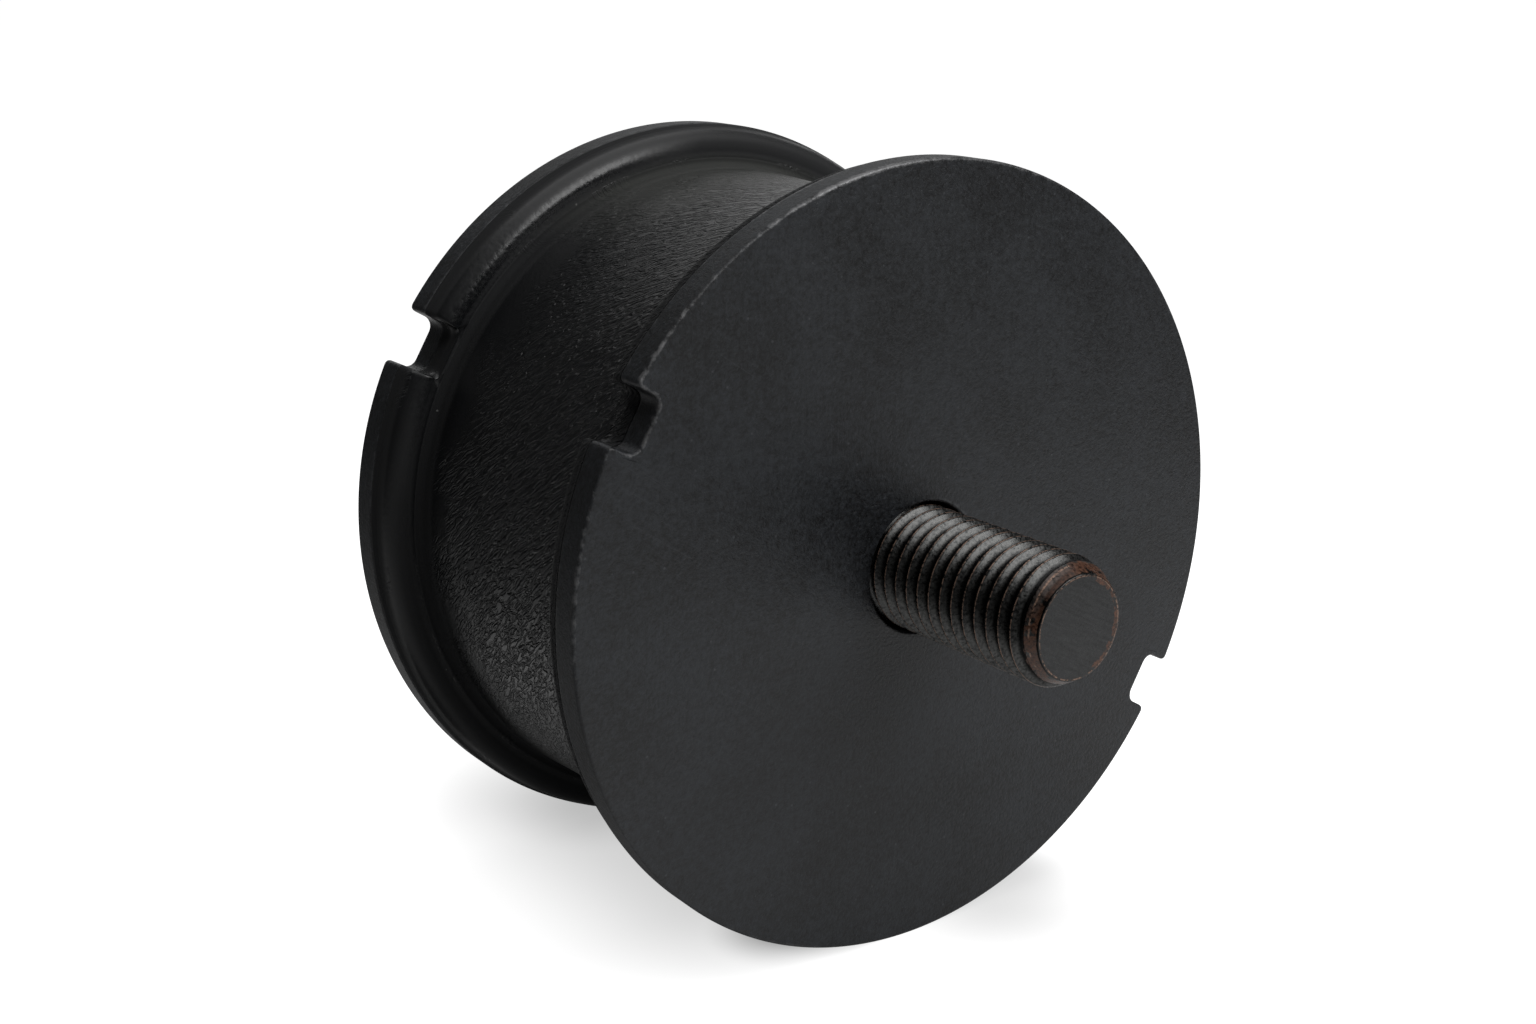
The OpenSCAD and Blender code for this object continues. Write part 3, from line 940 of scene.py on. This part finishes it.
# %% Paper floor: what the mount mirrors
# Patches of painted shade, and one of painted light: middle, inner and outer radius in mm,
# share at the inner radius, and how it fades
MIRRORED = ((-64, 28, 15, 28, 0.05, "SMOOTHSTEP"), (-140, 200, 50, 110, 0.2, "LINEAR"),
            (-120, -220, 60, 150, 0.12, "LINEAR"), (28, -58, 15, 45, 0.6, "LINEAR"),
            (-46, 50, 10, 30, 2.0, "LINEAR"))
MIRROR_STRENGTH = 0.37

shade = add(tree, RANGE, {"Value": away, "From Min": 10 * MM, "From Max": 48 * MM, "To Min": 0.15})
far = add(tree, VECTOR, {0: place}, operation="LENGTH").outputs["Value"]
fading = add(tree, RANGE, {"Value": far, "From Min": 180 * MM, "From Max": 360 * MM, "To Min": 1.0,
                           "To Max": 0.2}, interpolation_type="SMOOTHSTEP")
across = add(tree, "ShaderNodeSeparateXYZ", {0: place}).outputs["X"]
left = add(tree, RANGE, {"Value": across, "From Min": -85 * MM, "From Max": -55 * MM, "To Min": 0.62})
dimmers = [fading, left]
for x_mm, y_mm, near_mm, far_mm, share, fade in MIRRORED:
    spot = (x_mm * MM, y_mm * MM, FLOOR_Z)
    off = add(tree, VECTOR, {0: place, 1: spot}, operation="DISTANCE").outputs["Value"]
    patch = {"Value": off, "From Min": near_mm * MM, "From Max": far_mm * MM, "To Min": share}
    dimmers.append(add(tree, RANGE, patch, interpolation_type=fade))
for dimmer in dimmers:
    shade = add(tree, MATH, {0: shade, 1: dimmer}, operation="MULTIPLY")
# The paper's own colour is darkened by the same painted shade
tint = add(tree, MIX, {0: shade, 6: linear("#3a3a3a"), 7: linear("#c8c8c8")}, data_type="RGBA").outputs[2]
path = add(tree, "ShaderNodeLightPath").outputs
straight = {0: path["Is Camera Ray"], 1: path["Is Transmission Ray"]}
seen = add(tree, MATH, straight, operation="MAXIMUM")
direct = add(tree, MATH, {0: seen, 1: glow}, operation="MULTIPLY")
faint = add(tree, MATH, {0: path["Is Glossy Ray"], 1: MIRROR_STRENGTH}, operation="MULTIPLY")
mirrored = add(tree, MATH, {0: faint, 1: shade}, operation="MULTIPLY")
strength = add(tree, MATH, {0: direct, 1: mirrored}, operation="ADD")
shine = add(tree, "ShaderNodeEmission", {"Strength": strength})
lit = add(tree, "ShaderNodeBsdfDiffuse", {"Color": tint})
both = add(tree, "ShaderNodeAddShader", {0: lit, 1: shine})
add(tree, "ShaderNodeOutputMaterial", {"Surface": both})
print(f"{len(MIRRORED)} patches in the mirrored paper")

# %% [markdown]
# The paper is one wide square.

# %% Paper floor: mesh
FLOOR_HALF = 4.0

corners = [(sx * FLOOR_HALF, sy * FLOOR_HALF, FLOOR_Z) for sx, sy in ((-1, -1), (1, -1), (1, 1), (-1, 1))]
floor_mesh = bpy.data.meshes.new("white_floor")
floor_mesh.from_pydata(corners, [], [(0, 1, 2, 3)])
floor_mesh.materials.append(paper)
floor = bpy.data.objects.new("white_floor", floor_mesh)
scene.collection.objects.link(floor)
print(f"floor {2 * FLOOR_HALF:.0f} m wide at {FLOOR_Z / MM:.0f} mm")


# %% [markdown]
# Four soft lamps light the mount: a key in front, a large one overhead, a card behind on the
# right, and a small fill in front on the right. Black objects need such broad sources, because
# a small lamp would show only as a dot. The surroundings are white to the camera, and nearly
# black in reflections.

# %% Lamps and surroundings
def soft_lamp(name, place, aim, width, height, power):
    """Area lamp at a place, facing another place; sizes in metres."""
    data = bpy.data.lights.new(name, "AREA")
    data.shape = "RECTANGLE"
    data.size = width
    data.size_y = height
    data.energy = power
    lamp = bpy.data.objects.new(name, data)
    lamp.location = place
    lamp.rotation_euler = (Vector(aim) - Vector(place)).to_track_quat("-Z", "Y").to_euler()
    scene.collection.objects.link(lamp)
    return lamp


MIDDLE = (0, 0, 0)
lamps = [
    soft_lamp("key_softbox", (0.126, -0.472, 0.382), MIDDLE, width=0.33, height=0.34, power=1.6),
    soft_lamp("ceiling_softbox", (0.06, 0.0, 0.60), (0.06, 0.0, 0), width=0.7, height=0.8, power=2.0),
    soft_lamp("rear_card", (0.40, 0.55, 0.22), MIDDLE, width=0.8, height=0.5, power=1.0),
    soft_lamp("right_fill", (0.408, -0.422, 0.381), MIDDLE, width=0.15, height=0.15, power=0.7),
]

# The black steel mirrors a dark room, so reflections get only a trace of the white
ROOM_LIGHT = 0.04
ROOM_TRACE = 0.02

world = bpy.data.worlds.new("studio")
scene.world = world
world.use_nodes = True
tree = world.node_tree
tree.nodes.clear()
path = add(tree, "ShaderNodeLightPath").outputs
straight = {0: path["Is Camera Ray"], 1: path["Is Transmission Ray"]}
seen = add(tree, MATH, straight, operation="MAXIMUM")
trace = add(tree, MATH, {0: path["Is Glossy Ray"], 1: ROOM_TRACE}, operation="MULTIPLY")
shown = add(tree, MATH, {0: seen, 1: trace}, operation="ADD")
dim = add(tree, "ShaderNodeBackground", {"Color": linear("#ffffff"), "Strength": ROOM_LIGHT})
white = add(tree, "ShaderNodeBackground", {"Color": linear("#ffffff"), "Strength": 1.0})
mixed = add(tree, "ShaderNodeMixShader", {0: shown, 1: dim, 2: white})
add(tree, "ShaderNodeOutputWorld", {"Surface": mixed})
scene.view_settings.view_transform = "Standard"
print(f"{len(lamps)} lamps, {sum(lamp.data.energy for lamp in lamps):.1f} W in all")

# %% [markdown]
# ## Handing over
# Each piece rides on the mount's one body and stands for one of its solids, which is then
# hidden.

# %% Hand the pieces over
for piece, node, slot in ((rubber, "rubber_body", "rubber"), (front_disc, "front_plate", "plate_steel"),
                          (rear_disc, "rear_plate", "plate_steel"), (front_stud, "front_stud", "stud_steel"),
                          (rear_stud, "rear_stud", "stud_steel")):
    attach(piece, "root")
    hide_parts(node)
    print(f"{piece.name} stands for {node}")
